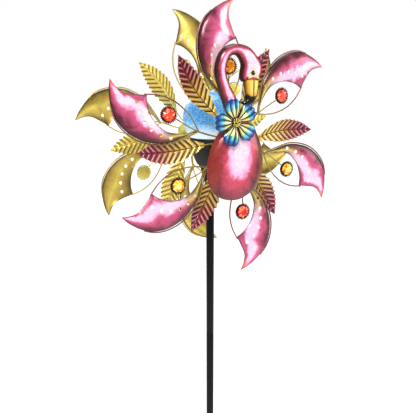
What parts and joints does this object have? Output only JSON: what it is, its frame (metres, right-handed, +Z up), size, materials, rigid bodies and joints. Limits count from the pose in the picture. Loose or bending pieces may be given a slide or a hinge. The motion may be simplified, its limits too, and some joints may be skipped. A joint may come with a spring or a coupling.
{
  "type": "kinetic wind spinner stake",
  "caption": "Garden stake wind spinner: two contra-facing wheels of crescent blades, leaves and jewels round a solar glass lamp, with a flamingo in front.",
  "frame": {"origin": "on the pole's axis at soil level, on the flat underside of the step plate", "axes": "+Z up along the pole; the flamingo and the front wheel face -Y; +X to the right seen from the front"},
  "size_m": [0.4527, 0.2501, 1.3649],
  "materials": {
    "black_steel": "satin black powder coat",
    "bright_steel": "zinc plated",
    "black_plastic": "satin",
    "crackle_glass": "crackled glass lit blue from inside",
    "solar_cell": "blue-black cell under clear resin",
    "circuit_board": "green solder mask",
    "battery_sleeve": "shrink sleeve",
    "nylon": "natural nylon",
    "blade_paint": "hand-painted pink to maroon over gold steel, gold at the back and root",
    "leaf_paint": "embossed herringbone, gold at the root to burgundy at the tip",
    "red_jewel": "clear red faceted acrylic in a dark toothed setting",
    "amber_jewel": "clear amber faceted acrylic in a dark toothed setting",
    "flamingo_paint": "pink pearl shading to deep red at the edges",
    "flower_paint": "deep blue petal ends through teal to yellow-green"
  },
  "bodies": {
    "stake": {"ground_fork": "black_steel", "pole_lower": "black_steel", "pole_middle": "black_steel", "pole_upper": "black_steel", "swivel_spindle": "bright_steel"},
    "head": {"head_bracket": "black_steel", "front_axle": "bright_steel", "rear_axle": "bright_steel", "front_nut": "bright_steel", "rear_nut": "bright_steel", "lamp_cup": "black_plastic", "lamp_globe": "crackle_glass", "solar_cell": "solar_cell", "circuit_board": "circuit_board", "battery": "battery_sleeve", "flamingo_body": "flamingo_paint", "flamingo_neck": "flamingo_paint", "flower": "flower_paint", "figure_bracket": "bright_steel"},
    "switch_button": {"lamp_switch": "black_plastic"},
    "front_wheel": {"front_hub": "black_steel", "front_bush": "nylon", "front_blade_1": "blade_paint", "front_jewel_1": "red_jewel", "front_leaf_1": "leaf_paint", "front_blade_2": "blade_paint", "front_jewel_2": "amber_jewel", "front_leaf_2": "leaf_paint", "front_blade_3": "blade_paint", "front_jewel_3": "red_jewel", "front_leaf_3": "leaf_paint", "front_blade_4": "blade_paint", "front_jewel_4": "amber_jewel", "front_leaf_4": "leaf_paint", "front_blade_5": "blade_paint", "front_jewel_5": "red_jewel", "front_leaf_5": "leaf_paint", "front_blade_6": "blade_paint", "front_jewel_6": "amber_jewel", "front_leaf_6": "leaf_paint"},
    "rear_wheel": {"rear_hub": "black_steel", "rear_bush": "nylon", "rear_blade_1": "blade_paint", "rear_jewel_1": "red_jewel", "rear_leaf_1": "leaf_paint", "rear_blade_2": "blade_paint", "rear_jewel_2": "amber_jewel", "rear_leaf_2": "leaf_paint", "rear_blade_3": "blade_paint", "rear_jewel_3": "red_jewel", "rear_leaf_3": "leaf_paint", "rear_blade_4": "blade_paint", "rear_jewel_4": "amber_jewel", "rear_leaf_4": "leaf_paint", "rear_blade_5": "blade_paint", "rear_jewel_5": "red_jewel", "rear_leaf_5": "leaf_paint", "rear_blade_6": "blade_paint", "rear_jewel_6": "amber_jewel", "rear_leaf_6": "leaf_paint"}
  },
  "joints": [
    {"name": "head_swivel", "type": "hinge", "parent": "stake", "child": "head", "pos_m": [0, 0, 0.89], "axis": [0, 0, 1], "continuous": true},
    {"name": "front_wheel_spin", "type": "hinge", "parent": "head", "child": "front_wheel", "pos_m": [0, -0.088, 0.985], "axis": [0, -1, 0], "continuous": true},
    {"name": "rear_wheel_spin", "type": "hinge", "parent": "head", "child": "rear_wheel", "pos_m": [0, 0.088, 0.985], "axis": [0, 1, 0], "continuous": true},
    {"name": "lamp_switch_press", "type": "slide", "parent": "head", "child": "switch_button", "axis": [-1, 0, 0], "range_m": [0, 0.0015], "stiffness_N_per_m": 400}
  ]
}
